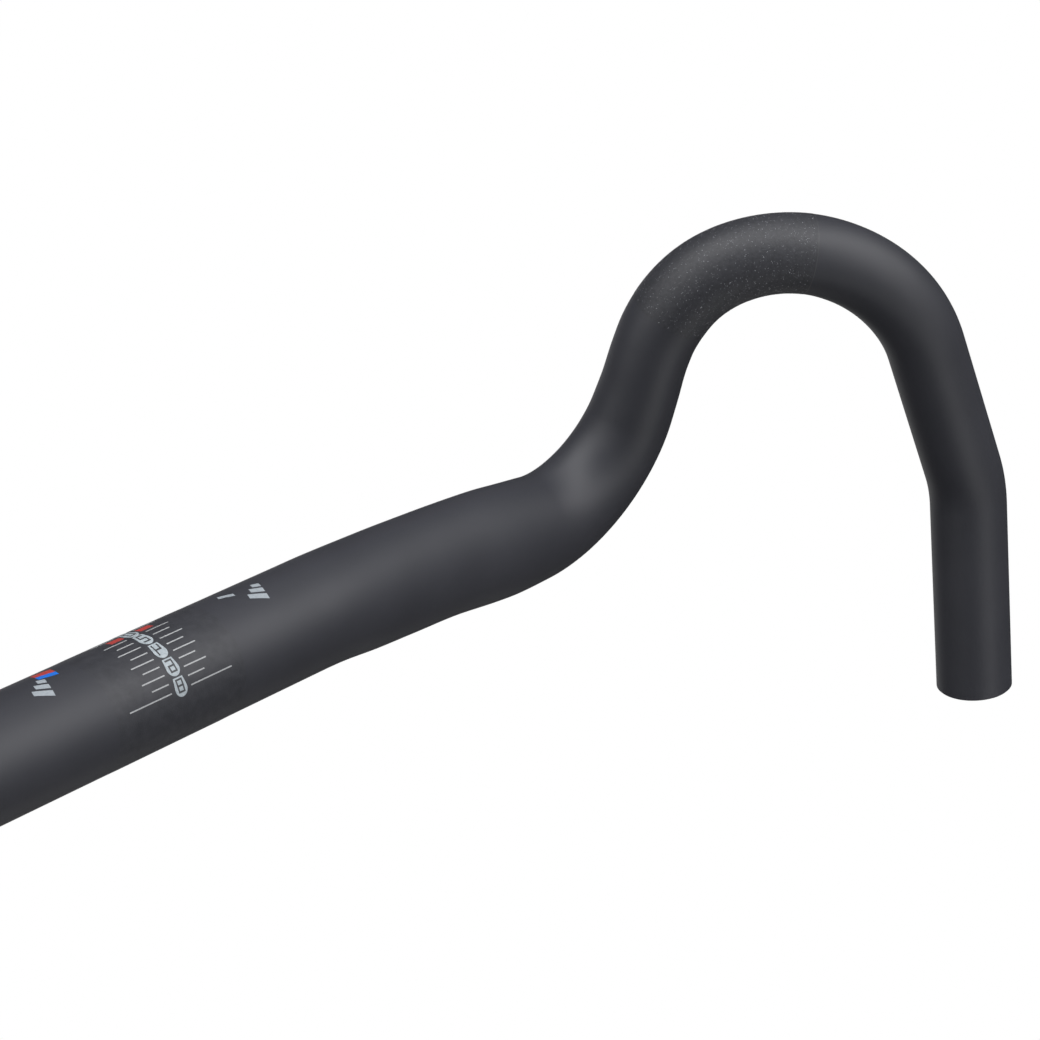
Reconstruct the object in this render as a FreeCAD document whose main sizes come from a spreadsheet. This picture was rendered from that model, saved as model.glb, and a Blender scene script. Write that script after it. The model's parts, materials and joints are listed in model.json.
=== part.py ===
import FreeCAD, Part
import math
import os
import Sketcher
from FreeCAD import Placement, Rotation, Vector

# A flared, shallow drop handlebar for a road or gravel bicycle: one bent, tapered aluminium tube, with
# patches of friction grit and a printed angle scale. Millimetres and degrees.
#
# Frame: the origin is on the tube's centre line in the middle of the stem clamp. +X is to the rider's right
# along the clamp, +Y is forward and +Z is up, with the bar turned so that the ends of the drops are level.
# The bar is symmetric about X = 0. Each half is modelled on the rider's right and mirrored to the left.

DIMENSIONS = {
    # Standard diameters, the coat and the print
    "clamp_diameter": 31.8,
    "grip_diameter": 23.8,
    "grit_thickness": 0.05,
    "ink_thickness": 0.03,
    # Butted wall: thick in the clamp, thin beyond the shoulders
    "clamp_wall": 2.0,
    "drop_wall": 1.5,
    "butt_from": 60,
    "butt_to": 120,
    "end_chamfer": 0.4,
    "bore_overrun": 1,
    # The turn of the scale's zero mark above forward once the ends of the drops are level
    "level_pitch": 10.2,
    # Centre line of one half, from the clamp outwards. A roll is the direction that a bend turns towards,
    # measured about the tube from the side of the zero mark.
    "clamp_run": 59.5,
    "sweep_angle": 4.75,
    "sweep_radius": 532,
    "sweep_roll": 156.2,
    "top_run": 60.9,
    "corner_angle": 91.3,
    "corner_radius": 33.3,
    "corner_roll": -30.6,
    "ramp_run": 25.1,
    "hook_angle": 56,
    "hook_radius": 36.5,
    "hook_roll": -168.7,
    "nose_angle": 37.5,
    "nose_radius": 41.8,
    "nose_roll": -168.7,
    "drop_angle": 52.6,
    "drop_radius": 52,
    "drop_roll": -168.7,
    "leg_run": 46.1,
    "kick_angle": 17.7,
    "kick_radius": 43.5,
    "kick_roll": -133.8,
    "tail_run": 62.9,
    # Friction grit: width on the clamp, and where it starts and ends along each half at the brake lever
    "clamp_grit_width": 47,
    "lever_grit_from": 252,
    "lever_grit_to": 299.5,
    "grit_block_length": 80,
    "grit_block_width": 100,
    # Angle scale printed round the clamp
    "tick_pitch": 9.33,
    "tick_width": 0.36,
    "tick_inner": 3.6,
    "short_tick_outer": 9.7,
    "long_tick_outer": 11.8,
    "end_tick_outer": 18.9,
    "zero_mark_inner": 3.0,
    "zero_mark_outer": 7.7,
    "zero_mark_height": 2.4,
    # Number tags down the middle of the scale, and the figures on them
    "first_tag_angle": 19.4,
    "tag_pitch": 20.7,
    "tag_length": 5.3,
    "tag_flat_width": 3.4,
    "tag_side_length": 2.5,
    "tag_side_width": 4.2,
    "figure_width": 1.9,
    "figure_height": 3.3,
    "figure_stroke": 0.5,
    "figure_lift": 0.35,
    "cutter_depth": 3,
    # Generic mark of leaning bars on each side of the scale, each bar shorter than the one below it, with one
    # more thin bar on the left
    "right_mark_start": 36.7,
    "left_mark_start": -42.8,
    "mark_low": -9.9,
    "mark_lean": 24,
    "mark_bar_length": 5.5,
    "mark_bar_shrink": 1.5,
    "mark_bar_height": 1.8,
    "mark_step": 2.6,
    "note_start": -35.6,
    "note_low": -4.4,
    "note_length": 4.8,
    "note_height": 1.5,
    # Two-coloured flash beside the right mark
    "flash_start": 29.2,
    "flash_low": -3.9,
    "flash_lean": 14,
    "flash_length": 6,
    "flash_blue_height": 2,
    "flash_red_height": 3,
}

HALF_PATH = [
    ("clamp", "run"),
    ("sweep", "bend"),
    ("top", "run"),
    ("corner", "bend"),
    ("ramp", "run"),
    ("hook", "bend"),
    ("nose", "bend"),
    ("drop", "bend"),
    ("leg", "run"),
    ("kick", "bend"),
    ("tail", "run"),
]

# Sections of the drawn tube, by distance from the clamp's middle: fore-and-aft width, height, and how far the
# section's middle is set back behind the centre line. Bending leaves the hook slightly wider than round.
SECTIONS = [
    ("clamp_edge", 59.5, 31.7, 31.7, 0),
    ("shoulder_start", 70, 31.95, 31.2, 0),
    ("shoulder_end", 86, 32.9, 29.4, 0.3),
    ("palm_start", 102, 33.3, 27.5, 0.1),
    ("palm_middle", 122, 33.35, 26.2, -0.3),
    ("palm_end", 142, 34.0, 26.15, 0),
    ("corner_start", 153, 33.45, 26.0, 0.2),
    ("corner_middle", 174, 30.9, 25.5, -0.1),
    ("corner_end", 206, 26.9, 24.4, 0),
    ("ramp_middle", 226, 24.5, 23.95, 0.15),
    ("hook_start", 237, 23.9, 23.8, -0.2),
    ("hook_bulge", 251, 24.45, 23.8, 0.35),
    ("hook_middle", 268, 24.45, 23.8, 0),
    ("nose_middle", 291, 23.9, 23.8, 0),
    ("drop_middle", 331, 24.3, 23.8, 0.1),
    ("leg_start", 356, 23.8, 23.8, 0),
]

SECTION_SIZES = ("at", "width", "height", "setback")

# Spacing of the sections along the tube, in millimetres
STATION_STEP = 10

# How closely an edge has to match an open end's rim to be taken for it
RIM_RADIUS_TOLERANCE = 1e-6
RIM_PLACE_TOLERANCE = 1e-3

# Counts: lines of the scale each way from zero, tags each way from zero, and bars in a printed mark
LAST_TICK = 9
LAST_TAG = 4
MARK_BARS = 3

# The strokes of a figure: middle in figure widths and heights, and whether the stroke lies flat
STROKES = {
    "top": (0, 0.5, True),
    "upper_right": (0.5, 0.25, False),
    "lower_right": (0.5, -0.25, False),
    "bottom": (0, -0.5, True),
    "lower_left": (-0.5, -0.25, False),
    "upper_left": (-0.5, 0.25, False),
    "middle": (0, 0, True),
}
UNLIT_STROKES = {
    0: ("middle",),
    2: ("upper_left", "lower_right"),
    4: ("top", "bottom", "lower_left"),
    6: ("upper_right",),
    8: (),
}

doc = FreeCAD.newDocument("drop_handlebar")
sheet = doc.addObject("Spreadsheet::Sheet", "dims")


def fill_sheet():
    rows = dict(DIMENSIONS)
    for name, *values in SECTIONS:
        rows.update({f"{name}_{size}": value for size, value in zip(SECTION_SIZES, values)})
    for row, (alias, value) in enumerate(rows.items(), start=1):
        sheet.set(f"A{row}", alias)
        sheet.set(f"B{row}", str(value))
        sheet.setAlias(f"B{row}", alias)
    doc.recompute()


def dim(alias):
    return float(sheet.get(alias))


def add(kind, name, placement=None, **bound):
    """A document object with its properties bound to expressions of the sheet's cells."""
    thing = doc.addObject(kind, name)
    for prop, expression in bound.items():
        thing.setExpression(prop, expression)
    if placement:
        thing.Placement = placement
    return thing


def combine(kind, name, base, tool):
    thing = doc.addObject(kind, name)
    thing.Base = base
    thing.Tool = tool
    return thing


def fuse(name, members):
    thing = doc.addObject("Part::MultiFuse", name)
    thing.Shapes = members
    return thing


def compound(name, members):
    thing = doc.addObject("Part::Compound", name)
    thing.Links = members
    return thing


def mirrored(name, source):
    thing = doc.addObject("Part::Mirroring", name)
    thing.Source = source
    thing.Normal = Vector(1, 0, 0)
    return thing


# ---- Centre line -----------------------------------------------------------------------------------------
# A frame on the centre line has its x along the tube, its y on the side of the zero mark and its z upwards.
# Bends carry it along without any twist.


def turn_x(degrees):
    return Placement(Vector(), Rotation(Vector(1, 0, 0), degrees))


def stretch_length(name, kind):
    if kind == "run":
        return dim(name + "_run")
    return math.radians(dim(name + "_angle")) * dim(name + "_radius")


def advance(frame, name, kind, length):
    """The frame `length` further on, along a run or bend that starts at frame."""
    if kind == "run":
        return frame * Placement(Vector(length, 0, 0), Rotation())
    radius = dim(name + "_radius")
    roll = turn_x(dim(name + "_roll"))
    turn = Rotation(Vector(0, 0, 1), math.degrees(length / radius))
    return frame * roll * Placement(Vector(), turn, Vector(0, radius, 0)) * roll.inverse()


def frame_at(distance):
    """The frame at this distance from the clamp's middle, along the right half's centre line."""
    frame = turn_x(dim("level_pitch"))
    for name, kind in HALF_PATH:
        length = stretch_length(name, kind)
        if distance <= length:
            return advance(frame, name, kind, distance)
        frame = advance(frame, name, kind, length)
        distance -= length
    return advance(frame, "tail", "run", distance)


def half_length():
    return sum(stretch_length(name, kind) for name, kind in HALF_PATH)


def station_distances():
    """Distances of the loft's sections, evenly spaced from the end of the clamp to the start of the tail."""
    start = dim("clamp_run")
    length = half_length() - dim("tail_run") - start
    steps = math.ceil(length / STATION_STEP)
    return [start + length * i / steps for i in range(steps + 1)]


# ---- Sections --------------------------------------------------------------------------------------------


def section_weights(distance):
    """Share of each named section at this distance: a smooth cubic through them all, level at both ends."""
    at = [dim(name + "_at") for name, *_ in SECTIONS]
    last = len(at) - 1
    if distance <= at[0]:
        return {0: 1.0}
    if distance >= at[last]:
        return {last: 1.0}
    low = max(i for i in range(last) if at[i] <= distance)
    span = at[low + 1] - at[low]
    u = (distance - at[low]) / span
    weights = {low: 2 * u**3 - 3 * u**2 + 1, low + 1: 3 * u**2 - 2 * u**3}
    for knot, slope_weight in ((low, u**3 - 2 * u**2 + u), (low + 1, u**3 - u**2)):
        if 0 < knot < last:
            share = slope_weight * span / (at[knot + 1] - at[knot - 1])
            weights[knot + 1] = weights.get(knot + 1, 0) + share
            weights[knot - 1] = weights.get(knot - 1, 0) - share
    return weights


def blend(weights, size):
    return " + ".join(f"{w:.5f} * dims.{SECTIONS[i][0]}_{size}" for i, w in sorted(weights.items()))


def wall_expression(distance):
    share = (distance - dim("butt_from")) / (dim("butt_to") - dim("butt_from"))
    share = min(max(share, 0), 1)
    return f"dims.clamp_wall + (dims.drop_wall - dims.clamp_wall) * {share:.4f}"


# An ellipse lies in its own XY plane: its long axis goes fore and aft and its normal along the tube.
ACROSS_TUBE = Placement(Vector(), Rotation(Vector(0, 1, 0), Vector(0, 0, 1), Vector(1, 0, 0), "XYZ"))


def section_ellipse(name, distance, offset):
    """The tube's outline at this distance, moved outwards by the expression offset."""
    weights = section_weights(distance)
    setback = sum(w * dim(SECTIONS[i][0] + "_setback") for i, w in weights.items())
    place = frame_at(distance) * Placement(Vector(0, -setback, 0), Rotation()) * ACROSS_TUBE
    return add(
        "Part::Ellipse",
        name,
        place,
        MajorRadius=f"({blend(weights, 'width')}) / 2 + {offset}",
        MinorRadius=f"({blend(weights, 'height')}) / 2 + {offset}",
    )


def skin_loft(name, distances, offset_at):
    loft = doc.addObject("Part::Loft", name)
    loft.Sections = [section_ellipse(f"{name}_{i}", s, offset_at(s)) for i, s in enumerate(distances)]
    loft.Solid = True
    return loft


# ---- The tube --------------------------------------------------------------------------------------------


def tail_cylinder(name, radius, extra):
    """A cylinder along the straight tail that runs `extra` past the open end."""
    start = frame_at(half_length() - dim("tail_run"))
    along_tail = Placement(Vector(), Rotation(Vector(0, 1, 0), 90))
    return add("Part::Cylinder", name, start * along_tail, Radius=radius, Height=f"dims.tail_run + {extra}")


def clamp_cylinder(name, radius, length="2 * dims.clamp_run"):
    """A cylinder along X, centred on the origin."""
    cylinder = doc.addObject("Part::Cylinder", name)
    cylinder.setExpression("Radius", radius)
    cylinder.setExpression("Height", length)
    cylinder.setExpression("Placement.Base.x", f"-({length}) / 2")
    cylinder.Placement.Rotation = Rotation(Vector(0, 1, 0), 90)
    return cylinder


def solid_bar(name, clamp_radius, tail_radius, offset_at, extra):
    """The bar's outside or its bore, from one open end to the other."""
    loft = skin_loft(name + "_loft", station_distances(), offset_at)
    tail = tail_cylinder(name + "_tail", tail_radius, extra)
    right = fuse(name + "_right", [loft, tail])
    return fuse(name, [clamp_cylinder(name + "_clamp", clamp_radius), right, mirrored(name + "_left", right)])


def on_right_half(point):
    return Vector(abs(point.x), point.y, point.z)


def make_bar_tube():
    outside = solid_bar(
        "outside",
        "dims.clamp_diameter / 2 - dims.grit_thickness",
        "dims.grip_diameter / 2",
        lambda distance: "0",
        "0",
    )
    bore = solid_bar(
        "bore",
        "dims.clamp_diameter / 2 - dims.grit_thickness - dims.clamp_wall",
        "dims.grip_diameter / 2 - dims.drop_wall",
        lambda distance: f"-({wall_expression(distance)})",
        "dims.bore_overrun",
    )
    blank = combine("Part::Cut", "bar_blank", outside, bore)
    doc.recompute()
    rim_radius = dim("grip_diameter") / 2
    end = frame_at(half_length()).Base
    rims = [
        index
        for index, edge in enumerate(blank.Shape.Edges, start=1)
        if isinstance(edge.Curve, Part.Circle)
        and abs(edge.Curve.Radius - rim_radius) < RIM_RADIUS_TOLERANCE
        and (on_right_half(edge.Curve.Center) - end).Length < RIM_PLACE_TOLERANCE
    ]
    if len(rims) != 2:
        raise RuntimeError(f"expected the rims of two open ends, found {len(rims)}")
    tube = doc.addObject("Part::Chamfer", "bar_tube")
    tube.Base = blank
    tube.Edges = [(index, dim("end_chamfer"), dim("end_chamfer")) for index in rims]
    return tube, outside


# ---- Friction grit ---------------------------------------------------------------------------------------


def make_clamp_grit():
    length = "dims.clamp_grit_width"
    skin = clamp_cylinder("clamp_grit_skin", "dims.clamp_diameter / 2", length)
    core_length = length + " + 2 * dims.bore_overrun"
    core = clamp_cylinder("clamp_grit_core", "dims.clamp_diameter / 2 - dims.grit_thickness", core_length)
    return combine("Part::Cut", "clamp_grit_band", skin, core)


def grit_block(name, distance, way):
    """A block that starts square across the tube at a distance, and reaches outwards (+1) or inwards (-1)."""
    back = 0 if way > 0 else -dim("grit_block_length")
    side = -dim("grit_block_width") / 2
    return add(
        "Part::Box",
        name,
        frame_at(dim(distance)) * Placement(Vector(back, side, side), Rotation()),
        Length="dims.grit_block_length",
        Width="dims.grit_block_width",
        Height="dims.grit_block_width",
    )


def make_lever_grit(outside):
    skin = skin_loft("lever_grit_skin", station_distances(), lambda distance: "dims.grit_thickness")
    onwards = grit_block("lever_grit_onwards", "lever_grit_from", 1)
    backwards = grit_block("lever_grit_backwards", "lever_grit_to", -1)
    stretch = combine("Part::Common", "lever_grit_stretch", onwards, backwards)
    sleeve = combine("Part::Common", "lever_grit_sleeve", skin, stretch)
    right = combine("Part::Cut", "right_lever_grit_band", sleeve, outside)
    return right, mirrored("left_lever_grit_band", right)


# ---- Prints ----------------------------------------------------------------------------------------------
# Angles round the clamp are counted from the zero mark, positive upwards over the front of the bar.


def ink_ring(name, ground):
    """A thin ring round the clamp, one layer of ink thick, on a ground of this radius."""
    skin = clamp_cylinder(name + "_skin", f"{ground} + dims.ink_thickness")
    core = clamp_cylinder(name + "_core", ground, "2 * dims.clamp_run + 2 * dims.bore_overrun")
    return combine("Part::Cut", name, skin, core)


def round_clamp(angle, axial=0.0, radial=0.0):
    """A frame at this angle round the clamp: x along the bar, y upwards round it and z outwards."""
    face_front = Placement(Vector(), Rotation(Vector(1, 0, 0), Vector(0, 0, -1), Vector(0, 1, 0), "XYZ"))
    return turn_x(dim("level_pitch") + angle) * face_front * Placement(Vector(axial, 0, radial), Rotation())


def arc_angle(length):
    """The angle that an arc of this length takes up on the clamp."""
    return math.degrees(length / (dim("clamp_diameter") / 2))


def tick(name, angle, inner, outer, side, height="tick_width"):
    """A thin curved line of ink along the bar on the side +1 or -1, revolved about the clamp's axis."""
    start = dim(inner) if side > 0 else -dim(outer)
    lower_edge = turn_x(dim("level_pitch") + angle - arc_angle(dim(height)) / 2)
    strip = add(
        "Part::Plane",
        name + "_strip",
        lower_edge * Placement(Vector(start, dim("clamp_diameter") / 2, 0), Rotation()),
        Length=f"dims.{outer} - dims.{inner}",
        Width="dims.ink_thickness",
    )
    line = add("Part::Revolution", name, Angle=f"dims.{height} / (dims.clamp_diameter / 2) * 180 / pi")
    line.Source = strip
    line.Axis = Vector(1, 0, 0)
    line.Solid = True
    return line


def tick_length(index):
    if abs(index) == LAST_TICK:
        return "end_tick_outer"
    return "long_tick_outer" if index % 2 else "short_tick_outer"


def make_scale():
    """The lines on both sides of the tags, alternately short and long, and the wide marks at zero."""
    lines = []
    zero_marks = []
    for side, word in ((1, "right"), (-1, "left")):
        for index in range(1, LAST_TICK + 1):
            for way, direction in ((1, "up"), (-1, "down")):
                angle = way * index * dim("tick_pitch")
                name = f"tick_{word}_{direction}_{index}"
                lines.append(tick(name, angle, "tick_inner", tick_length(index), side))
        zero_mark = tick(f"zero_{word}", 0, "zero_mark_inner", "zero_mark_outer", side, "zero_mark_height")
        zero_marks.append(zero_mark)
    return compound("scale_lines", lines), compound("scale_zero_marks", zero_marks)


def tag_outline(name):
    """A flat-topped tag with a rounded end: x across it, y along it from the flat edge."""
    sketch = doc.addObject("Sketcher::SketchObject", name)
    flat = dim("tag_flat_width") / 2
    side = dim("tag_side_width") / 2
    shoulder = dim("tag_side_length")
    top_left, top_right = Vector(-flat, 0, 0), Vector(flat, 0, 0)
    side_left, side_right = Vector(-side, shoulder, 0), Vector(side, shoulder, 0)
    tip = Vector(0, dim("tag_length"), 0)
    top = sketch.addGeometry(Part.LineSegment(top_left, top_right))
    right = sketch.addGeometry(Part.LineSegment(top_right, side_right))
    left = sketch.addGeometry(Part.LineSegment(side_left, top_left))
    nose = sketch.addGeometry(Part.Arc(side_right, tip, side_left))
    bound = [
        (Sketcher.Constraint("Coincident", top, 2, right, 1), None),
        (Sketcher.Constraint("Coincident", right, 2, nose, 1), None),
        (Sketcher.Constraint("Coincident", nose, 2, left, 1), None),
        (Sketcher.Constraint("Coincident", left, 2, top, 1), None),
        (Sketcher.Constraint("Horizontal", top), None),
        (Sketcher.Constraint("DistanceX", -1, 1, top, 2, flat), "dims.tag_flat_width / 2"),
        (Sketcher.Constraint("DistanceX", top, 1, -1, 1, flat), "dims.tag_flat_width / 2"),
        (Sketcher.Constraint("PointOnObject", top, 1, -1), None),
        (Sketcher.Constraint("DistanceX", -1, 1, right, 2, side), "dims.tag_side_width / 2"),
        (Sketcher.Constraint("DistanceX", left, 1, -1, 1, side), "dims.tag_side_width / 2"),
        (Sketcher.Constraint("DistanceY", -1, 1, right, 2, shoulder), "dims.tag_side_length"),
        (Sketcher.Constraint("DistanceY", -1, 1, left, 1, shoulder), "dims.tag_side_length"),
    ]
    for constraint, expression in bound:
        index = sketch.addConstraint(constraint)
        if expression:
            sketch.setExpression(f"Constraints[{index}]", expression)
    return sketch


def make_tag(name, ground, way):
    """A prism in the shape of a tag whose rounded end points up (+1) or down (-1) from its middle."""
    outline = tag_outline(name + "_outline")
    turned = Rotation(Vector(0, 0, 1), 0 if way > 0 else 180)
    outline.Placement = ground * Placement(Vector(0, -way * dim("tag_length") / 2, 0), turned)
    prism = add("Part::Extrusion", name, LengthFwd="dims.cutter_depth")
    prism.Base = outline
    prism.DirMode = "Normal"
    prism.Solid = True
    return prism


def make_figure(name, ground, way, figure):
    """Boxes for the strokes of a figure, centred a little towards the tag's flat edge."""
    boxes = []
    for stroke, (x, y, flat) in STROKES.items():
        if stroke in UNLIT_STROKES[figure]:
            continue
        box = add("Part::Box", f"{name}_{stroke}", Height="dims.cutter_depth")
        long_side, short_side = ("Length", "Width") if flat else ("Width", "Length")
        reach = "dims.figure_width" if flat else "dims.figure_height / 2"
        box.setExpression(long_side, reach + " + dims.figure_stroke")
        box.setExpression(short_side, "dims.figure_stroke")
        size = (dim("figure_width"), 0) if flat else (0, dim("figure_height") / 2)
        half_stroke = dim("figure_stroke") / 2
        corner_x = x * dim("figure_width") - size[0] / 2 - half_stroke
        corner_y = y * dim("figure_height") - size[1] / 2 - half_stroke - way * dim("figure_lift")
        box.Placement = ground * Placement(Vector(corner_x, corner_y, 0), Rotation())
        boxes.append(box)
    return boxes


def tag_angle(number):
    """The angle of a tag's middle: zero, then evenly spaced from the first one on each side."""
    if number == 0:
        return 0
    return math.copysign(dim("first_tag_angle") + (abs(number) - 1) * dim("tag_pitch"), number)


def make_tags():
    """The number tags, which count up in twos both ways from zero, and a figure on each one."""
    bottom = dim("clamp_diameter") / 2 - dim("cutter_depth") / 2
    prisms = []
    strokes = []
    for number in range(-LAST_TAG, LAST_TAG + 1):
        way = 1 if number > 0 else -1
        ground = round_clamp(tag_angle(number), radial=bottom)
        name = f"tag_{'up' if way > 0 else 'down'}_{abs(number)}"
        prisms.append(make_tag(name, ground, way))
        strokes += make_figure(name, ground, way, 2 * abs(number))
    grit = "dims.clamp_diameter / 2"
    tag_ink = ink_ring("tag_ink", grit)
    figure_ink = ink_ring("figure_ink", grit + " + dims.ink_thickness")
    tags = combine("Part::Common", "scale_number_tags", tag_ink, fuse("tag_prisms", prisms))
    figures = combine("Part::Common", "scale_figures", figure_ink, fuse("figure_boxes", strokes))
    return tags, figures


def leaning_block(name, start, low, lean, lift, length, height):
    """A block in front of the clamp. Its lower edge starts at a point and leans upwards along the bar."""
    corner = Placement(Vector(start, low, 0), Rotation(Vector(0, 0, 1), lean))
    return add(
        "Part::Box",
        name,
        round_clamp(0) * corner * Placement(Vector(0, lift, 0), Rotation()),
        Length=length,
        Width=height,
        Height="dims.clamp_diameter",
    )


def make_mark(word, ink, notes):
    """A generic mark of leaning bars, stacked up from the lowest and longest one."""
    bars = [
        leaning_block(
            f"{word}_mark_bar_{index}",
            dim(f"{word}_mark_start"),
            dim("mark_low"),
            dim("mark_lean"),
            index * dim("mark_step"),
            f"dims.mark_bar_length - {index} * dims.mark_bar_shrink",
            "dims.mark_bar_height",
        )
        for index in range(MARK_BARS)
    ]
    return combine("Part::Common", f"{word}_print_mark", ink, fuse(f"{word}_mark_bars", bars + notes))


def flash_block(name, lift, height):
    start, low, lean = dim("flash_start"), dim("flash_low"), dim("flash_lean")
    return leaning_block(name, start, low, lean, lift, "dims.flash_length", height)


def make_flash(ink):
    """Two leaning stripes beside the right mark, red above blue."""
    blue = flash_block("flash_blue_block", 0, "dims.flash_blue_height")
    red = flash_block("flash_red_block", dim("flash_blue_height"), "dims.flash_red_height")
    return [
        combine("Part::Common", "accent_flash_blue", ink, blue),
        combine("Part::Common", "accent_flash_red", ink, red),
    ]


def make_marks():
    bare_tube = "dims.clamp_diameter / 2 - dims.grit_thickness"
    ink = ink_ring("mark_ink", bare_tube)
    note = leaning_block(
        "left_mark_note",
        dim("note_start"),
        dim("note_low"),
        dim("mark_lean"),
        0,
        "dims.note_length",
        "dims.note_height",
    )
    return [make_mark("right", ink, []), make_mark("left", ink, [note])] + make_flash(ink)


# ---- Checks and export -----------------------------------------------------------------------------------


def check_document():
    for thing in doc.Objects:
        faults = {"Invalid", "Error"} & set(thing.State)
        if faults:
            raise RuntimeError(f"{thing.Name} is in state {sorted(faults)}")


def export(nodes):
    os.makedirs("parts", exist_ok=True)
    for node in nodes:
        node.Label = node.Name
        shape = node.Shape
        if shape.isNull() or not shape.isValid() or not shape.Solids:
            raise RuntimeError(f"{node.Label} has no valid solid")
        shape.exportStep(f"parts/{node.Label}.step")
        print(f"{node.Label}: {len(shape.Solids)} solids, {shape.Volume:.2f} mm3")


def main():
    fill_sheet()
    bar_tube, outside = make_bar_tube()
    clamp_grit = make_clamp_grit()
    right_grit, left_grit = make_lever_grit(outside)
    lines, zero_marks = make_scale()
    tags, figures = make_tags()
    marks = make_marks()
    doc.recompute()
    check_document()
    export([bar_tube, clamp_grit, right_grit, left_grit, lines, zero_marks, tags, figures] + marks)
    end = frame_at(half_length())
    box = bar_tube.Shape.BoundBox
    print("open end at", end.Base, "pointing", end.Rotation.multVec(Vector(1, 0, 0)))
    print("box", box)


main()
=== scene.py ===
import json
import math
import random
from collections import namedtuple

import bmesh
import bpy
import numpy as np
from mathutils import Euler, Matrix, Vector


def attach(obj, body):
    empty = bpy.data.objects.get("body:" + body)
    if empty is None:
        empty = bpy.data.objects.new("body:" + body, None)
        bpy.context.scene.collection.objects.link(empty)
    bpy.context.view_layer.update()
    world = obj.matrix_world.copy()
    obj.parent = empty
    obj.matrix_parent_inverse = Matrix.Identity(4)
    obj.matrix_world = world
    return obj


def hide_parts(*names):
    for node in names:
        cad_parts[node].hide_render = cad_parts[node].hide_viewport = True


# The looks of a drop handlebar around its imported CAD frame. The frame and every Blender object are in metres.
# The tube's dimensions below are in millimetres and degrees, as a bar maker gives them.

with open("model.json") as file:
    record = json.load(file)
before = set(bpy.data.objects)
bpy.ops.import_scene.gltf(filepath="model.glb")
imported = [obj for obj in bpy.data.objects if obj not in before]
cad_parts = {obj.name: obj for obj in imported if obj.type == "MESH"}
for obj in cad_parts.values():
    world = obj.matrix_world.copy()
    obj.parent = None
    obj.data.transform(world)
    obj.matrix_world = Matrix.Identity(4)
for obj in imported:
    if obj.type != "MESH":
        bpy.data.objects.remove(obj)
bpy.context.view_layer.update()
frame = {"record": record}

MM = 0.001
MOUNTS = {mount["name"]: mount for mount in frame["record"]["mounts"]}
CLAMP_RADIUS = MOUNTS["stem_clamp"]["dims"]["r_mm"]
GRIP_RADIUS = MOUNTS["right_grip"]["dims"]["r_mm"]
BORE_RADIUS = MOUNTS["right_bar_end"]["dims"]["r_mm"]

# ---- Dimensions ------------------------------------------------------------------------------------------

GRIT_THICKNESS = 0.05
INK_THICKNESS = 0.03
CLAMP_WALL = 2.0
DROP_WALL = GRIP_RADIUS - BORE_RADIUS
# The wall thins from the clamp's to the drops' between these distances from the clamp's middle.
BUTT_FROM, BUTT_TO = 60, 120
END_CHAMFER = 0.4
# How far the scale's zero mark is above straight ahead when the ends of the drops are level.
LEVEL_PITCH = 10.2

Run = namedtuple("Run", "length")
Bend = namedtuple("Bend", "angle radius roll")

# Centre line of the right half, from the middle of the clamp. A bend's roll is the direction that it turns
# towards, about the tube from the side of the scale's zero mark.
HALF_PATH = [
    Run(59.5),
    Bend(4.75, 532, 156.2),
    Run(60.9),
    Bend(91.3, 33.3, -30.6),
    Run(25.1),
    Bend(56, 36.5, -168.7),
    Bend(37.5, 41.8, -168.7),
    Bend(52.6, 52, -168.7),
    Run(46.1),
    Bend(17.7, 43.5, -133.8),
    Run(62.9),
]

# Sections of the tube: distance from the clamp's middle, width, height, and how far the section is set back
# from the centre line.
SECTIONS = [
    (59.5, 31.7, 31.7, 0),
    (70, 31.95, 31.2, 0),
    (86, 32.9, 29.4, 0.3),
    (102, 33.3, 27.5, 0.1),
    (122, 33.35, 26.2, -0.3),
    (142, 34.0, 26.15, 0),
    (153, 33.45, 26.0, 0.2),
    (174, 30.9, 25.5, -0.1),
    (206, 26.9, 24.4, 0),
    (226, 24.5, 23.95, 0.15),
    (237, 23.9, 23.8, -0.2),
    (251, 24.45, 23.8, 0.35),
    (268, 24.45, 23.8, 0),
    (291, 23.9, 23.8, 0),
    (331, 24.3, 23.8, 0.1),
    (356, 23.8, 23.8, 0),
]

# Fineness of the meshes.
RING_POINTS = 96
RING_STEP = 1.5
PRINT_ROW_STEP = 0.3
TAG_ARC_STEPS = 16
SHARP_FROM_DEGREES = 28
MERGE_DISTANCE_IN_METRES = 1e-7

# Grit, in distances from the clamp's middle.
CLAMP_GRIT_HALF = 23.5
CLAMP_GRIT_FEATHER = 4
LEVER_GRIT_FROM, LEVER_GRIT_TO = 252, 299.5
LACQUER_EDGE_WIDTH = 0.25
GRAINS = 3600
GRAIN_RADIUS = (0.04, 0.12)
GRAIN_MARGIN = 0.5
GRAIN_SEED = 17

# The scale. Pitches and angles are in degrees round the clamp.
TICK_PITCH = 9.33
TICK_WIDTH = 0.36
TICK_INNER = 3.6
TICK_OUTER = {"short": 9.7, "long": 11.8, "end": 18.9}
LAST_TICK = 9
ZERO_INNER, ZERO_OUTER, ZERO_HEIGHT = 3.0, 7.7, 2.4
FIRST_TAG_ANGLE, TAG_PITCH = 19.4, 20.7
TAG_LENGTH = 5.3
TAG_FLAT_WIDTH = 3.4
TAG_SIDE_LENGTH = 2.5
TAG_SIDE_WIDTH = 4.2
LAST_TAG = 4
FIGURE_WIDTH, FIGURE_HEIGHT, FIGURE_STROKE = 1.9, 3.3, 0.5
FIGURE_LIFT = 0.35

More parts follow.
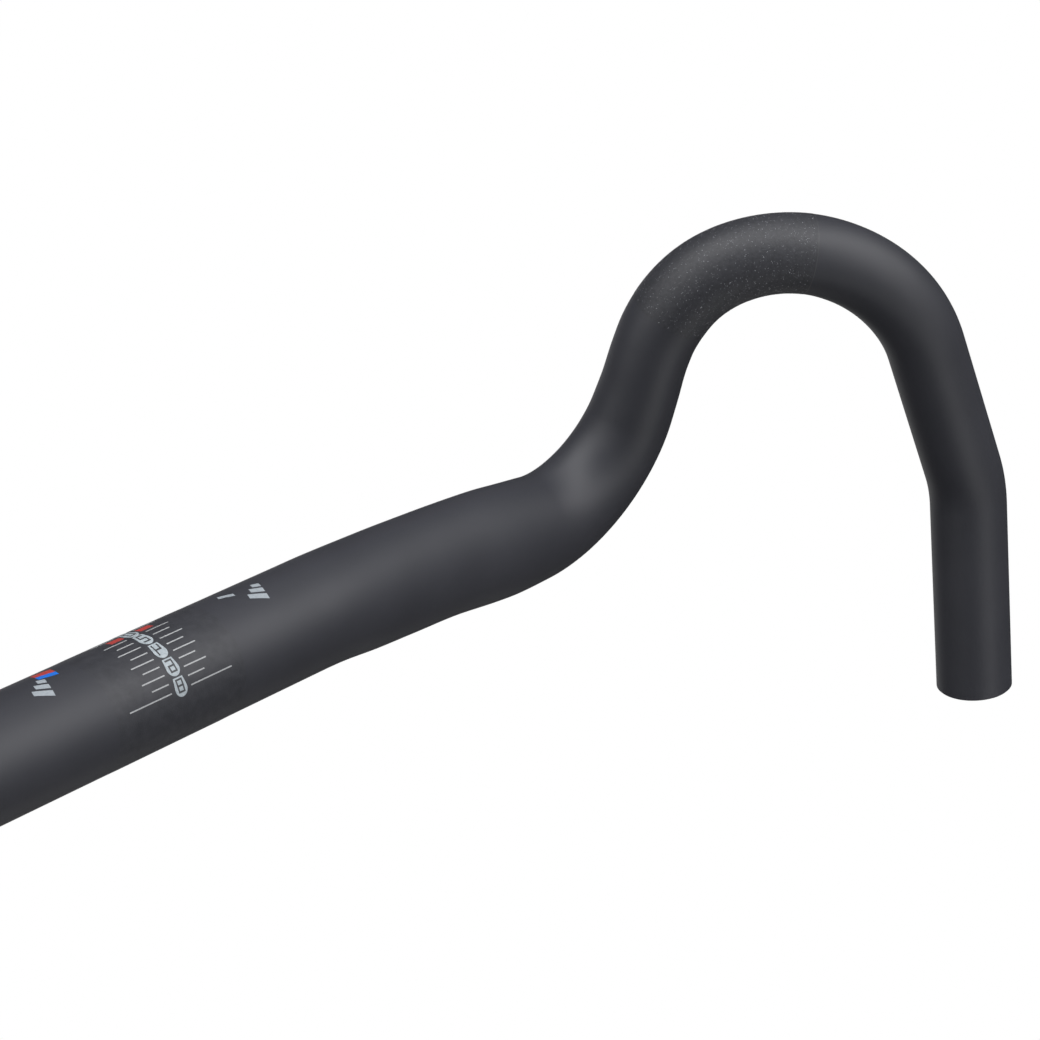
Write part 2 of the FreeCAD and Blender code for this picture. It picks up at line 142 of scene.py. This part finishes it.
# The marks beside the scale, as starts along the bar and heights round it from the zero mark.
MARK_STARTS = {"right": 36.7, "left": -42.8}
MARK_BARS = 3
MARK_LOW, MARK_LEAN, MARK_STEP = -9.9, 24, 2.6
MARK_BAR_LENGTH, MARK_BAR_SHRINK, MARK_BAR_HEIGHT = 5.5, 1.5, 1.8
NOTE_START, NOTE_LOW, NOTE_LENGTH, NOTE_HEIGHT = -35.6, -4.4, 4.8, 1.5
FLASH_START, FLASH_LOW, FLASH_LEAN, FLASH_LENGTH = 29.2, -3.9, 14, 6
FLASH_BLUE_HEIGHT, FLASH_RED_HEIGHT = 2, 3

# ---- Centre line and sections ----------------------------------------------------------------------------


def turn_x(degrees):
    c, s = math.cos(math.radians(degrees)), math.sin(math.radians(degrees))
    return np.array([[1, 0, 0], [0, c, -s], [0, s, c]])


def turn_z(angle):
    c, s = math.cos(angle), math.sin(angle)
    return np.array([[c, -s, 0], [s, c, 0], [0, 0, 1]])


def stretch_length(stretch):
    return stretch.length if isinstance(stretch, Run) else math.radians(stretch.angle) * stretch.radius


HALF_LENGTH = sum(stretch_length(stretch) for stretch in HALF_PATH)


def advance(point, axes, stretch, length):
    """The point and axes `length` further on. The axes are columns: along the tube, zero-mark side, up."""
    if isinstance(stretch, Run):
        return point + axes[:, 0] * length, axes
    angle = length / stretch.radius
    roll = turn_x(stretch.roll)
    across = stretch.radius * np.array([math.sin(angle), 1 - math.cos(angle), 0])
    return point + axes @ roll @ across, axes @ roll @ turn_z(angle) @ roll.T


def frame_at(distance):
    point, axes = np.zeros(3), turn_x(LEVEL_PITCH)
    for stretch in HALF_PATH[:-1]:
        length = stretch_length(stretch)
        if distance <= length:
            return advance(point, axes, stretch, distance)
        point, axes = advance(point, axes, stretch, length)
        distance -= length
    return advance(point, axes, HALF_PATH[-1], distance)


def section_at(distance):
    """Width, height and set-back: a smooth cubic through the named sections, level at both ends."""
    table = np.array(SECTIONS, dtype=float)
    places = table[:, 0]
    if distance <= places[0]:
        return table[0, 1:]
    if distance >= places[-1]:
        return table[-1, 1:]
    slopes = np.zeros_like(table[:, 1:])
    slopes[1:-1] = (table[2:, 1:] - table[:-2, 1:]) / (places[2:] - places[:-2])[:, None]
    low = int(np.searchsorted(places, distance, side="right")) - 1
    span = places[low + 1] - places[low]
    u = (distance - places[low]) / span
    return (
        (2 * u**3 - 3 * u**2 + 1) * table[low, 1:]
        + (3 * u**2 - 2 * u**3) * table[low + 1, 1:]
        + (u**3 - 2 * u**2 + u) * span * slopes[low]
        + (u**3 - u**2) * span * slopes[low + 1]
    )


def wall_at(distance):
    share = min(max((distance - BUTT_FROM) / (BUTT_TO - BUTT_FROM), 0), 1)
    return CLAMP_WALL + (DROP_WALL - CLAMP_WALL) * share


def ring(distance, offset=0.0):
    """Points round the tube at this distance. A negative distance is on the left half."""
    point, axes = frame_at(abs(distance))
    width, height, setback = section_at(abs(distance))
    angles = np.linspace(0, 2 * math.pi, RING_POINTS, endpoint=False)
    across = np.outer((width / 2 + offset) * np.cos(angles) - setback, axes[:, 1])
    up = np.outer((height / 2 + offset) * np.sin(angles), axes[:, 2])
    points = point + across + up
    if distance < 0:
        points = points * np.array([-1, 1, 1])
    return points


def spaced(start, end, step):
    """Distances from start to end, evenly spaced and no further apart than step."""
    steps = math.ceil(abs(end - start) / step)
    return [start + (end - start) * i / steps for i in range(steps + 1)]


# ---- Meshes ----------------------------------------------------------------------------------------------


def add_piece(name, vertices, faces, material):
    """A smooth-shaded piece with crisp edges, from points in millimetres."""
    mesh = bpy.data.meshes.new(name)
    mesh.from_pydata([tuple(v * MM) for v in vertices], [], faces)
    shaped = bmesh.new()
    shaped.from_mesh(mesh)
    bmesh.ops.remove_doubles(shaped, verts=shaped.verts, dist=MERGE_DISTANCE_IN_METRES)
    bmesh.ops.recalc_face_normals(shaped, faces=shaped.faces)
    shaped.to_mesh(mesh)
    shaped.free()
    mesh.shade_smooth()
    mesh.set_sharp_from_angle(angle=math.radians(SHARP_FROM_DEGREES))
    mesh.materials.append(material)
    piece = bpy.data.objects.new(name, mesh)
    bpy.context.collection.objects.link(piece)
    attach(piece, "root")
    return piece


def ring_loop(rings):
    """Vertices and faces of a closed skin that runs from ring to ring and back to the first."""
    count = len(rings[0])
    vertices = [point for loop in rings for point in loop]
    faces = []
    for i in range(len(rings)):
        this, following = i * count, ((i + 1) % len(rings)) * count
        for j in range(count):
            k = (j + 1) % count
            faces.append((this + j, this + k, following + k, following + j))
    return vertices, faces


def sleeve(name, distances, thickness, material, feather=None):
    """A thin closed skin on the tube. With a feather, it thins out over that length at both ends."""
    start, end = distances[0], distances[-1]
    outer = []
    for distance in distances:
        share = 1
        if feather is not None:
            share = min(1, abs(distance - start) / feather, abs(end - distance) / feather)
        outer.append(ring(distance, thickness * share))
    inner = [ring(distance) for distance in reversed(distances)]
    return add_piece(name, *ring_loop(outer + inner), material)


def bar_tube(material):
    """Outside, chamfered end, bore and chamfered end, as one closed skin."""
    outside = spaced(-HALF_LENGTH + END_CHAMFER, HALF_LENGTH - END_CHAMFER, RING_STEP)
    inside = spaced(HALF_LENGTH, -HALF_LENGTH, 2 * RING_STEP)
    rings = [ring(distance) for distance in outside]
    rings.append(ring(HALF_LENGTH, -END_CHAMFER))
    rings += [ring(distance, -wall_at(abs(distance))) for distance in inside]
    rings.append(ring(-HALF_LENGTH, -END_CHAMFER))
    return add_piece("fine_bar_tube", *ring_loop(rings), material)


def on_clamp(axial, degrees, radius):
    """A point on the clamp, at this many degrees above the zero mark."""
    angle = math.radians(degrees + LEVEL_PITCH)
    return np.array([axial, radius * math.cos(angle), radius * math.sin(angle)])


def print_layer(name, outlines, ground, material):
    """Ink patches of one layer. Each outline is convex: corners (along the bar, up) from its own angle.

    The patch is cut into rows that follow the clamp round, each row straight along the bar.
    """
    vertices, faces = [], []
    for degrees, corners in outlines:
        heights = sorted({y for _, y in corners})
        rows = set()
        for low, high in zip(heights, heights[1:]):
            rows.update(spaced(low, high, PRINT_ROW_STEP))
        rows = sorted(rows)
        first = len(vertices)
        for y in rows:
            left, right = row_ends(corners, y)
            angle = degrees + math.degrees(math.asin(y / CLAMP_RADIUS))
            for axial, lift in ((left, 1), (right, 1), (right, 0), (left, 0)):
                vertices.append(on_clamp(axial, angle, ground + lift * INK_THICKNESS))
        for row in range(len(rows) - 1):
            base = first + 4 * row
            for side in range(4):
                following = (side + 1) % 4
                above, above_following = base + 4 + side, base + 4 + following
                faces.append((base + side, base + following, above_following, above))
        faces.append(tuple(first + side for side in range(4)))
        last = first + 4 * (len(rows) - 1)
        faces.append(tuple(last + side for side in (3, 2, 1, 0)))
    return add_piece(name, vertices, faces, material)


def row_ends(corners, y):
    """Where a level line at height y enters and leaves a convex outline."""
    heights = [height for _, height in corners]
    y = min(max(y, min(heights)), max(heights))
    crossings = [x for x, height in corners if height == y]
    for (x1, y1), (x2, y2) in zip(corners, corners[1:] + corners[:1]):
        if min(y1, y2) < y < max(y1, y2):
            crossings.append(x1 + (x2 - x1) * (y - y1) / (y2 - y1))
    return min(crossings), max(crossings)


def rectangle(x1, x2, y1, y2):
    return [(x1, y1), (x2, y1), (x2, y2), (x1, y2)]


# ---- Prints ----------------------------------------------------------------------------------------------


def tick_outlines():
    outlines = []
    for index in range(1, LAST_TICK + 1):
        kind = "end" if index == LAST_TICK else ("long" if index % 2 else "short")
        for way in (1, -1):
            for side in (1, -1):
                ends = sorted((side * TICK_INNER, side * TICK_OUTER[kind]))
                box = rectangle(*ends, -TICK_WIDTH / 2, TICK_WIDTH / 2)
                outlines.append((way * index * TICK_PITCH, box))
    return outlines


def zero_outlines():
    outlines = []
    for side in (1, -1):
        ends = sorted((side * ZERO_INNER, side * ZERO_OUTER))
        outlines.append((0, rectangle(*ends, -ZERO_HEIGHT / 2, ZERO_HEIGHT / 2)))
    return outlines


def tag_outline(way):
    """A tag with a flat edge towards the zero mark and a rounded end away from it, centred on its middle."""
    half, flat, side = TAG_LENGTH / 2, TAG_FLAT_WIDTH / 2, TAG_SIDE_WIDTH / 2
    nose = TAG_LENGTH - TAG_SIDE_LENGTH
    radius = (side**2 + nose**2) / (2 * nose)
    start = math.asin(min(side / radius, 1))
    if nose > radius:
        start = math.pi - start
    angles = [start - 2 * start * i / TAG_ARC_STEPS for i in range(TAG_ARC_STEPS + 1)]
    arc = [(radius * math.sin(a), TAG_LENGTH - radius + radius * math.cos(a)) for a in angles]
    corners = [(-flat, 0), (flat, 0)] + arc
    return [(x, way * (y - half)) for x, y in corners]


# The seven strokes of a figure: middle as a share of the figure's width and height, and whether it lies flat.
STROKES = {
    "top": (0, 0.5, True),
    "upper_right": (0.5, 0.25, False),
    "lower_right": (0.5, -0.25, False),
    "bottom": (0, -0.5, True),
    "lower_left": (-0.5, -0.25, False),
    "upper_left": (-0.5, 0.25, False),
    "middle": (0, 0, True),
}
UNLIT_STROKES = {
    0: ("middle",),
    2: ("upper_left", "lower_right"),
    4: ("top", "bottom", "lower_left"),
    6: ("upper_right",),
    8: (),
}


def figure_outlines(degrees, way, figure):
    outlines = []
    for stroke, (x, y, flat) in STROKES.items():
        if stroke in UNLIT_STROKES[figure]:
            continue
        half_x = (FIGURE_WIDTH / 2 if flat else 0) + FIGURE_STROKE / 2
        half_y = (0 if flat else FIGURE_HEIGHT / 4) + FIGURE_STROKE / 2
        middle_x, middle_y = x * FIGURE_WIDTH, y * FIGURE_HEIGHT - way * FIGURE_LIFT
        box = rectangle(middle_x - half_x, middle_x + half_x, middle_y - half_y, middle_y + half_y)
        outlines.append((degrees, box))
    return outlines


def leaning_block(start, low, lean, lift, length, height):
    """A rectangle that leans upwards along the bar, lifted off a line that starts at (start, low)."""
    c, s = math.cos(math.radians(lean)), math.sin(math.radians(lean))
    corners = rectangle(0, length, lift, lift + height)
    return 0, [(start + x * c - y * s, low + x * s + y * c) for x, y in corners]


def mark_outlines(side):
    """Leaning bars, each one shorter than the one below it."""
    return [
        leaning_block(
            MARK_STARTS[side],
            MARK_LOW,
            MARK_LEAN,
            index * MARK_STEP,
            MARK_BAR_LENGTH - index * MARK_BAR_SHRINK,
            MARK_BAR_HEIGHT,
        )
        for index in range(MARK_BARS)
    ]


def flash_outline(lift, height):
    return [leaning_block(FLASH_START, FLASH_LOW, FLASH_LEAN, lift, FLASH_LENGTH, height)]


def tag_angle(number):
    """Degrees from the zero mark to a tag. The tags next to the one at zero are a little closer to it."""
    if number == 0:
        return 0
    return math.copysign(FIRST_TAG_ANGLE + (abs(number) - 1) * TAG_PITCH, number)


def add_prints(inks):
    on_grit, on_tube = CLAMP_RADIUS, CLAMP_RADIUS - GRIT_THICKNESS
    tags, figures = [], []
    for number in range(-LAST_TAG, LAST_TAG + 1):
        way = 1 if number > 0 else -1
        tags.append((tag_angle(number), tag_outline(way)))
        figures += figure_outlines(tag_angle(number), way, 2 * abs(number))
    note = leaning_block(NOTE_START, NOTE_LOW, MARK_LEAN, 0, NOTE_LENGTH, NOTE_HEIGHT)
    layers = [
        ("scale_lines", tick_outlines(), on_grit, "light_print"),
        ("scale_zero_marks", zero_outlines(), on_grit, "red_print"),
        ("scale_number_tags", tags, on_grit, "silver_print"),
        ("scale_figures", figures, on_grit + INK_THICKNESS, "dark_print"),
        ("right_print_mark", mark_outlines("right"), on_tube, "grey_print"),
        ("left_print_mark", mark_outlines("left") + [note], on_tube, "grey_print"),
        ("accent_flash_blue", flash_outline(0, FLASH_BLUE_HEIGHT), on_tube, "blue_print"),
        ("accent_flash_red", flash_outline(FLASH_BLUE_HEIGHT, FLASH_RED_HEIGHT), on_tube, "red_print"),
    ]
    for node, outlines, ground, ink in layers:
        piece = print_layer("fine_" + node, outlines, ground, inks[ink])
        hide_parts(node)


# ---- Grit ------------------------------------------------------------------------------------------------


def grit_grains(name, side, material):
    """Grains set in the lacquer of one lever patch, as small eight-sided stones half sunk in it."""
    chance = random.Random(GRAIN_SEED)
    stone = [(1, 0, 0), (-1, 0, 0), (0, 1, 0), (0, -1, 0), (0, 0, 1), (0, 0, -1)]
    sides = [(0, 2, 4), (2, 1, 4), (1, 3, 4), (3, 0, 4), (2, 0, 5), (1, 2, 5), (3, 1, 5), (0, 3, 5)]
    vertices, faces = [], []
    for _ in range(GRAINS):
        distance = chance.uniform(LEVER_GRIT_FROM + GRAIN_MARGIN, LEVER_GRIT_TO - GRAIN_MARGIN)
        angle = chance.uniform(0, 2 * math.pi)
        size = chance.triangular(*GRAIN_RADIUS, GRAIN_RADIUS[0])
        turned = np.array(Euler([chance.uniform(0, math.pi) for _ in range(3)]).to_matrix())
        point, axes = frame_at(distance)
        width, height, setback = section_at(distance)
        across = (width / 2 + GRIT_THICKNESS) * math.cos(angle) - setback
        up = (height / 2 + GRIT_THICKNESS) * math.sin(angle)
        centre = point + axes[:, 1] * across + axes[:, 2] * up
        first = len(vertices)
        for corner in stone:
            place = centre + turned @ np.array(corner) * size
            vertices.append(place * np.array([side, 1, 1]))
        faces += [tuple(first + i for i in face) for face in sides]
    piece = add_piece(name, vertices, faces, material)


def add_grit(finishes):
    clamp_band = sleeve(
        "fine_clamp_grit_band",
        spaced(-CLAMP_GRIT_HALF, CLAMP_GRIT_HALF, RING_STEP),
        GRIT_THICKNESS,
        finishes["clamp_grit"],
        feather=CLAMP_GRIT_FEATHER,
    )
    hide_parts("clamp_grit_band")
    for side, word in ((1, "right"), (-1, "left")):
        patch = spaced(side * LEVER_GRIT_FROM, side * LEVER_GRIT_TO, RING_STEP)
        band = sleeve(f"fine_{word}_lever_grit_band", patch, GRIT_THICKNESS, finishes["lever_grit"])
        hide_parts(f"{word}_lever_grit_band")
        # A thin raised lacquer bead at the end of the patch, whose lighter colour is a painted highlight along
        # that end.
        edge = [side * LEVER_GRIT_TO, side * (LEVER_GRIT_TO + LACQUER_EDGE_WIDTH)]
        line = sleeve(f"{word}_lacquer_edge_painted_highlight", edge, GRIT_THICKNESS, finishes["lacquer_edge_painted_highlight"])
        grit_grains(f"{word}_grit_grains", side, finishes["grain"])


# ---- Materials -------------------------------------------------------------------------------------------


def shader(name, roughness, specular):
    """A new material with its nodes, links and Principled shader."""
    material = bpy.data.materials.new(name)
    material.use_nodes = True
    nodes, links = material.node_tree.nodes, material.node_tree.links
    surface = nodes["Principled BSDF"]
    surface.inputs["Roughness"].default_value = roughness
    surface.inputs["Specular IOR Level"].default_value = specular
    return material, nodes, links, surface


def noise(nodes, links, scale, detail):
    place = nodes.new("ShaderNodeTexCoord")
    texture = nodes.new("ShaderNodeTexNoise")
    texture.inputs["Scale"].default_value = scale
    texture.inputs["Detail"].default_value = detail
    links.new(place.outputs["Object"], texture.inputs["Vector"])
    return texture


def spread(nodes, links, source, between, onto=(0, 1)):
    """Maps the values between two limits to the given output range."""
    mapped = nodes.new("ShaderNodeMapRange")
    for socket, value in zip(("From Min", "From Max", "To Min", "To Max"), (*between, *onto)):
        mapped.inputs[socket].default_value = value
    links.new(source, mapped.inputs["Value"])
    return mapped.outputs["Result"]


def two_tones(nodes, links, factor, first, second):
    mix = nodes.new("ShaderNodeMix")
    mix.data_type = "RGBA"
    mix.inputs["A"].default_value = (*first, 1)
    mix.inputs["B"].default_value = (*second, 1)
    links.new(factor, mix.inputs["Factor"])
    return mix.outputs["Result"]


def add_bump(nodes, links, surface, height, distance, strength):
    bump = nodes.new("ShaderNodeBump")
    bump.inputs["Strength"].default_value = strength
    bump.inputs["Distance"].default_value = distance
    links.new(height, bump.inputs["Height"])
    links.new(bump.outputs["Normal"], surface.inputs["Normal"])


def blasted_black(name, dark, light, roughness, grain_scale, grain_height, grain_strength, cloud_scale=35):
    """Matte black over bead-blasted metal: soft clouds in colour, and a fine grain in gloss and height."""
    material, nodes, links, surface = shader(name, roughness=0.5, specular=0.5)
    clouds = noise(nodes, links, cloud_scale, detail=3)
    tone = spread(nodes, links, clouds.outputs["Fac"], between=(0.3, 0.7))
    links.new(two_tones(nodes, links, tone, dark, light), surface.inputs["Base Color"])
    grain = noise(nodes, links, grain_scale, detail=2)
    gloss = spread(nodes, links, grain.outputs["Fac"], between=(0.25, 0.75), onto=roughness)
    links.new(gloss, surface.inputs["Roughness"])
    add_bump(nodes, links, surface, grain.outputs["Fac"], grain_height, grain_strength)
    return material


def stone_tone_and_painted_glints():
    """Glossy grains, from dark to bright: partly the grit's own mineral tone, partly painted glints, where a
    bright colour stands in for light that the grains catch.
    """
    material, nodes, links, surface = shader("grit_grain", roughness=0.25, specular=0.6)
    painted_glint_noise = noise(nodes, links, scale=900, detail=1)
    tone = spread(nodes, links, painted_glint_noise.outputs["Fac"], between=(0.35, 0.65))
    # The bright end of this tone is partly a painted glint, colour that stands in for light caught by the
    # grains.
    colour = two_tones(nodes, links, tone, (0.06, 0.06, 0.07), (0.75, 0.77, 0.82))
    links.new(colour, surface.inputs["Base Color"])
    return material


def ink(name, colour, worn):
    """Printed ink, slightly uneven in cover."""
    material, nodes, links, surface = shader(name, roughness=0.42, specular=0.4)
    cover = noise(nodes, links, scale=1800, detail=3)
    tone = spread(nodes, links, cover.outputs["Fac"], between=(0.35, 0.65))
    links.new(two_tones(nodes, links, tone, worn, colour), surface.inputs["Base Color"])
    add_bump(nodes, links, surface, cover.outputs["Fac"], distance=0.00002, strength=0.3)
    return material


def make_finishes():
    return {
        "grain": stone_tone_and_painted_glints(),
        "bar_finish": blasted_black(
            "bar_finish",
            dark=(0.027, 0.028, 0.035),
            light=(0.033, 0.034, 0.042),
            roughness=(0.46, 0.54),
            grain_scale=3500,
            grain_height=0.00002,
            grain_strength=0.25,
        ),
        "clamp_grit": blasted_black(
            "clamp_grit",
            dark=(0.024, 0.025, 0.031),
            light=(0.035, 0.036, 0.043),
            roughness=(0.44, 0.54),
            grain_scale=2200,
            grain_height=0.00005,
            grain_strength=0.5,
            cloud_scale=400,
        ),
        "lever_grit": blasted_black(
            "lever_grit",
            dark=(0.023, 0.024, 0.029),
            light=(0.034, 0.035, 0.042),
            roughness=(0.42, 0.58),
            grain_scale=1500,
            grain_height=0.00008,
            grain_strength=0.6,
            cloud_scale=900,
        ),
        # The lacquer edge is a real raised bead. Its lighter tone is a painted highlight: the light line that
        # the edge catches, painted into its colour.
        "lacquer_edge_painted_highlight": blasted_black(
            "lacquer_edge_painted_highlight",
            dark=(0.026, 0.027, 0.032),
            light=(0.07, 0.07, 0.075),
            roughness=(0.38, 0.46),
            grain_scale=700,
            grain_height=0.00002,
            grain_strength=0.2,
        ),
    }


def make_inks():
    return {
        "light_print": ink("light_print", (0.38, 0.39, 0.40), (0.31, 0.32, 0.33)),
        "silver_print": ink("silver_print", (0.38, 0.42, 0.45), (0.29, 0.33, 0.36)),
        "dark_print": ink("dark_print", (0.040, 0.042, 0.048), (0.055, 0.057, 0.062)),
        "grey_print": ink("grey_print", (0.32, 0.35, 0.38), (0.27, 0.30, 0.33)),
        "red_print": ink("red_print", (0.40, 0.045, 0.04), (0.32, 0.04, 0.035)),
        "blue_print": ink("blue_print", (0.015, 0.15, 0.60), (0.015, 0.12, 0.50)),
    }


# ---- Studio ----------------------------------------------------------------------------------------------

# Round soft lights: name, direction from the bar, half angle in degrees and radiance.
SOFTBOX_DISTANCE = 6
SOFTBOXES = [
    ("key_below", (-0.3, 0.6, -0.8), 28, 2.4),
    ("front", (0.2, 1, -0.1), 28, 1.9),
    ("front_high", (0.6, 0.8, 0.3), 28, 1.9),
    ("right_side", (1, 0.2, 0), 28, 1.1),
    ("underneath", (0, 0, -1), 18, 1.6),
    ("rear_low", (0, -0.7, -0.7), 18, 1.3),
    ("rear", (-0.4, -0.9, 0), 18, 0.4),
    ("left_low", (-0.6, 0.6, -0.4), 20, 0.9),
    ("right_high", (0.8, 0, 0.5), 14, 1),
    ("front_left", (-0.3, 1, 0.1), 20, 0.5),
    ("front_low", (0.1, 0.8, -0.5), 18, 1.6),
    ("behind_high", (-0.4, -0.4, 0.8), 26, 0.5),
]

# The surround as a light, and as what the camera sees.
AMBIENT = 0.045
CAMERA_WHITE = 1.0

# The floor, in metres.
FLOOR_HALF, FLOOR_DROP = 60, 9
FLOOR_GLOW = 0.92

# The camera, in millimetres, metres and degrees.
CAMERA_LENS, CAMERA_SENSOR = 121.74, 36
CAMERA_PLACE = (0.58732, 0.36682, -0.63123)
CAMERA_TURN = (162.060, 50.5213, -176.4579)


def add_floor():
    """A pale floor, far below the bar, which is seen from underneath."""
    half, drop = FLOOR_HALF, FLOOR_DROP
    mesh = bpy.data.meshes.new("floor")
    corners = [(-half, -half, -drop), (half, -half, -drop), (half, half, -drop), (-half, half, -drop)]
    mesh.from_pydata(corners, [], [(0, 1, 2, 3)])
    material, _, _, surface = shader("floor", roughness=0.9, specular=0.1)
    surface.inputs["Base Color"].default_value = (0.8, 0.8, 0.8, 1)
    surface.inputs["Emission Color"].default_value = (1, 1, 1, 1)
    surface.inputs["Emission Strength"].default_value = FLOOR_GLOW
    mesh.materials.append(material)
    floor = bpy.data.objects.new("floor", mesh)
    floor.visible_diffuse = False
    floor.visible_glossy = False
    bpy.context.collection.objects.link(floor)


def add_softbox(name, direction, half_angle, radiance):
    """A round area light, seen from the bar under this half angle, that faces the bar."""
    radius = SOFTBOX_DISTANCE * math.tan(math.radians(half_angle))
    data = bpy.data.lights.new(name, "AREA")
    data.shape = "DISK"
    data.size = 2 * radius
    # The power of a flat light is pi times its radiance times its area.
    data.energy = radiance * (math.pi * radius) ** 2
    light = bpy.data.objects.new(name, data)
    away = Vector(direction).normalized()
    light.location = away * SOFTBOX_DISTANCE
    light.rotation_euler = away.to_track_quat("Z", "Y").to_euler()
    light.visible_camera = False
    bpy.context.collection.objects.link(light)


def add_world():
    """A white surround for the camera, and a dimmer one that lights the bar."""
    world = bpy.data.worlds.new("surround")
    world.use_nodes = True
    nodes, links = world.node_tree.nodes, world.node_tree.links
    soft = nodes["Background"]
    soft.inputs["Color"].default_value = (1, 1, 1, 1)
    soft.inputs["Strength"].default_value = AMBIENT
    white = nodes.new("ShaderNodeBackground")
    white.inputs["Strength"].default_value = CAMERA_WHITE
    white.inputs["Color"].default_value = (1, 1, 1, 1)
    path = nodes.new("ShaderNodeLightPath")
    mix = nodes.new("ShaderNodeMixShader")
    links.new(path.outputs["Is Camera Ray"], mix.inputs["Fac"])
    links.new(soft.outputs["Background"], mix.inputs[1])
    links.new(white.outputs["Background"], mix.inputs[2])
    links.new(mix.outputs["Shader"], nodes["World Output"].inputs["Surface"])
    bpy.context.scene.world = world


def add_camera():
    """Below the right-hand tops and ahead of them, looking up at the left-hand hook."""
    data = bpy.data.cameras.new("camera")
    data.lens = CAMERA_LENS
    data.sensor_width = CAMERA_SENSOR
    camera = bpy.data.objects.new("camera", data)
    camera.location = CAMERA_PLACE
    camera.rotation_euler = [math.radians(angle) for angle in CAMERA_TURN]
    bpy.context.collection.objects.link(camera)
    bpy.context.scene.camera = camera


def main():
    finishes = make_finishes()
    tube = bar_tube(finishes["bar_finish"])
    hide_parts("bar_tube")
    add_grit(finishes)
    add_prints(make_inks())
    add_floor()
    add_world()
    for softbox in SOFTBOXES:
        add_softbox(*softbox)
    add_camera()
    bpy.context.scene.view_settings.view_transform = "Standard"


main()
